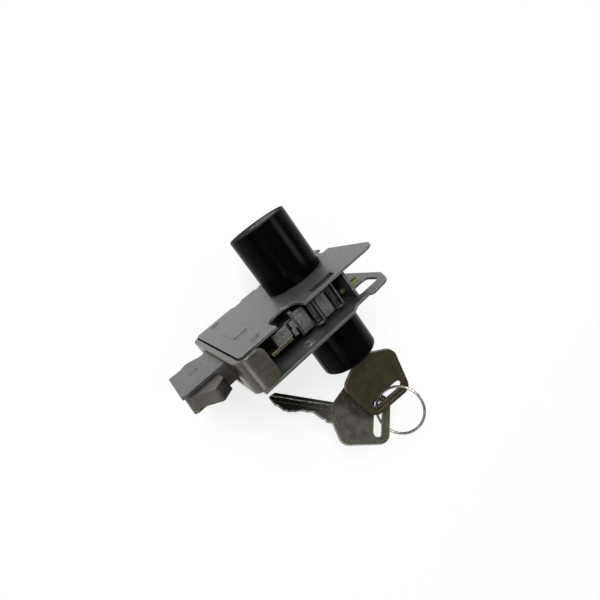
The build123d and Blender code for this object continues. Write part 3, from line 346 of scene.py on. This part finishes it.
OTHERS = {
    "sintered": sintered_iron(
        "sintered_look", light=(0.29, 0.29, 0.28), dark=(0.042, 0.042, 0.040),
        rim=(0.42, 0.42, 0.40)),
    "black_gloss": black_paint(
        "black_gloss_look", light=(0.0012, 0.0012, 0.0013), dark=(0.0004, 0.0004, 0.0005),
        dusty=(0.05, 0.05, 0.05), rim=(0.02, 0.02, 0.019)),
    "key_nickel": key_metal(
        "key_nickel_look", light=(0.056, 0.044, 0.0215), dark=(0.040, 0.031, 0.015),
        rim=(0.16, 0.13, 0.08), metallic=0.55, rough=(0.34, 0.48)),
    "key_dark": key_metal(
        "key_dark_look", light=(0.135, 0.128, 0.100), dark=(0.095, 0.090, 0.070),
        rim=(0.62, 0.60, 0.50), metallic=0.8, rough=(0.22, 0.38), tip=SPARE_TIP),
}

looks = {**SHEETS, **WORKED, **OTHERS}
slot_of = {part["node"]: part["material_slot"] for part in frame["record"]["subparts"]}
for node_name, node_object in nodes.items():
    node_object.data.materials.clear()
    node_object.data.materials.append(looks[slot_of[node_name]])


# Floor, in metres

FLOOR_Z = -0.0345
FLOOR_HALF = 2.0
FLOOR_GLOW = 0.75


def paper(name, light, dark):
    """White paper that also glows a little where it is seen, so that it comes out white."""
    made, tree, shader, place = material(name)
    tree.links.new(mixed(tree, noise(tree, place, 0.4), dark, light), shader.inputs["Base Color"])
    shader.inputs["Roughness"].default_value = 0.95
    shader.inputs["Specular IOR Level"].default_value = 0.1
    rays = tree.nodes.new("ShaderNodeLightPath").outputs
    seen = combine(tree, "MAXIMUM", rays["Is Camera Ray"], rays["Is Glossy Ray"])
    seen = combine(tree, "MAXIMUM", seen, rays["Is Transmission Ray"])
    white = tree.nodes.new("ShaderNodeEmission")
    blend = tree.nodes.new("ShaderNodeMixShader")
    tree.links.new(combine(tree, "MULTIPLY", seen, FLOOR_GLOW), blend.inputs[0])
    tree.links.new(shader.outputs[0], blend.inputs[1])
    tree.links.new(white.outputs[0], blend.inputs[2])
    tree.links.new(blend.outputs[0], tree.nodes["Material Output"].inputs["Surface"])
    return made


def add_floor():
    """One square of paper just below the lowest point of the part."""
    corners = [(-1, -1), (1, -1), (1, 1), (-1, 1)]
    mesh = bpy.data.meshes.new("floor")
    mesh.from_pydata([(x * FLOOR_HALF, y * FLOOR_HALF, FLOOR_Z) for x, y in corners],
                     [], [range(len(corners))])
    mesh.materials.append(paper("floor_paper", light=(0.97, 0.97, 0.97), dark=(0.94, 0.94, 0.94)))
    floor = bpy.data.objects.new("floor", mesh)
    scene.collection.objects.link(floor)


add_floor()


# Light, in metres and watts

MIDDLE = (0.0, -0.02, 0.0)


def studio_world(dark, bright, towards, color):
    """A room dark on one side and bright on the other, with a white backdrop."""
    world = bpy.data.worlds.new("studio")
    world.use_nodes = True
    tree = world.node_tree
    side = tree.nodes.new("ShaderNodeVectorMath")
    side.operation = "DOT_PRODUCT"
    side.inputs[1].default_value = Vector(towards).normalized()
    direction = tree.nodes.new("ShaderNodeTexCoord").outputs["Generated"]
    tree.links.new(direction, side.inputs[0])
    strength = spread(tree, side.outputs["Value"], dark, bright, start=-0.3, end=0.9)
    parts = tree.nodes.new("ShaderNodeSeparateXYZ")
    tree.links.new(direction, parts.inputs[0])
    low = spread(tree, parts.outputs["Z"], 1.0, 0.0, start=0.15, end=0.40)
    rays = tree.nodes.new("ShaderNodeLightPath").outputs
    white = combine(tree, "MULTIPLY", rays["Is Glossy Ray"], low)
    white = combine(tree, "MAXIMUM", white, rays["Is Camera Ray"])
    white = combine(tree, "MAXIMUM", white, rays["Is Transmission Ray"])
    background = tree.nodes["Background"]
    feed(tree, background.inputs["Color"], color)
    feed(tree, background.inputs["Strength"], combine(tree, "MAXIMUM", strength, white))
    scene.world = world


def area_light(name, place, size, power):
    """A rectangular lamp aimed at the middle of the part."""
    lamp = bpy.data.lights.new(name, "AREA")
    lamp.shape = "RECTANGLE"
    lamp.size, lamp.size_y = size
    lamp.energy = power
    thing = bpy.data.objects.new(name, lamp)
    thing.location = place
    thing.rotation_mode = "QUATERNION"
    thing.rotation_quaternion = (Vector(MIDDLE) - Vector(place)).to_track_quat("-Z", "Y")
    scene.collection.objects.link(thing)


studio_world(dark=0.03, bright=0.42, towards=(0.0, 0.6, 0.7), color=(0.97, 0.99, 1.0))
area_light("key_light", place=(-0.29, 1.04, 1.59), size=(0.85, 0.60), power=33.0)
area_light("ear_light", place=(-0.43, -0.21, 0.46), size=(0.08, 0.25), power=0.5)
area_light("stripe_light", place=(0.40, -0.07, 0.47), size=(0.13, 0.20), power=0.5)


# The photo's camera, fitted to points of the photo

CAMERA_PLACE = (-0.05891, 0.04259, 0.17518)
CAMERA_AIM = (-0.00350, -0.00877, 0.0)
CAMERA_ROLL = 94.36
FOCAL_PX = 473.0
IMAGE_PX = 600.0
SENSOR_WIDTH = 36.0
NEAREST = 0.01
FARTHEST = 20.0


def add_camera():
    lens = bpy.data.cameras.new("photo_camera")
    lens.sensor_width = SENSOR_WIDTH
    lens.lens = FOCAL_PX / IMAGE_PX * SENSOR_WIDTH
    lens.clip_start = NEAREST
    lens.clip_end = FARTHEST
    camera = bpy.data.objects.new("photo_camera", lens)
    sight = (Vector(CAMERA_AIM) - Vector(CAMERA_PLACE)).to_track_quat("-Z", "Y")
    camera.location = CAMERA_PLACE
    camera.rotation_mode = "QUATERNION"
    camera.rotation_quaternion = sight @ Quaternion((0.0, 0.0, 1.0), math.radians(CAMERA_ROLL))
    scene.collection.objects.link(camera)
    scene.camera = camera


add_camera()
scene.view_settings.view_transform = "Standard"
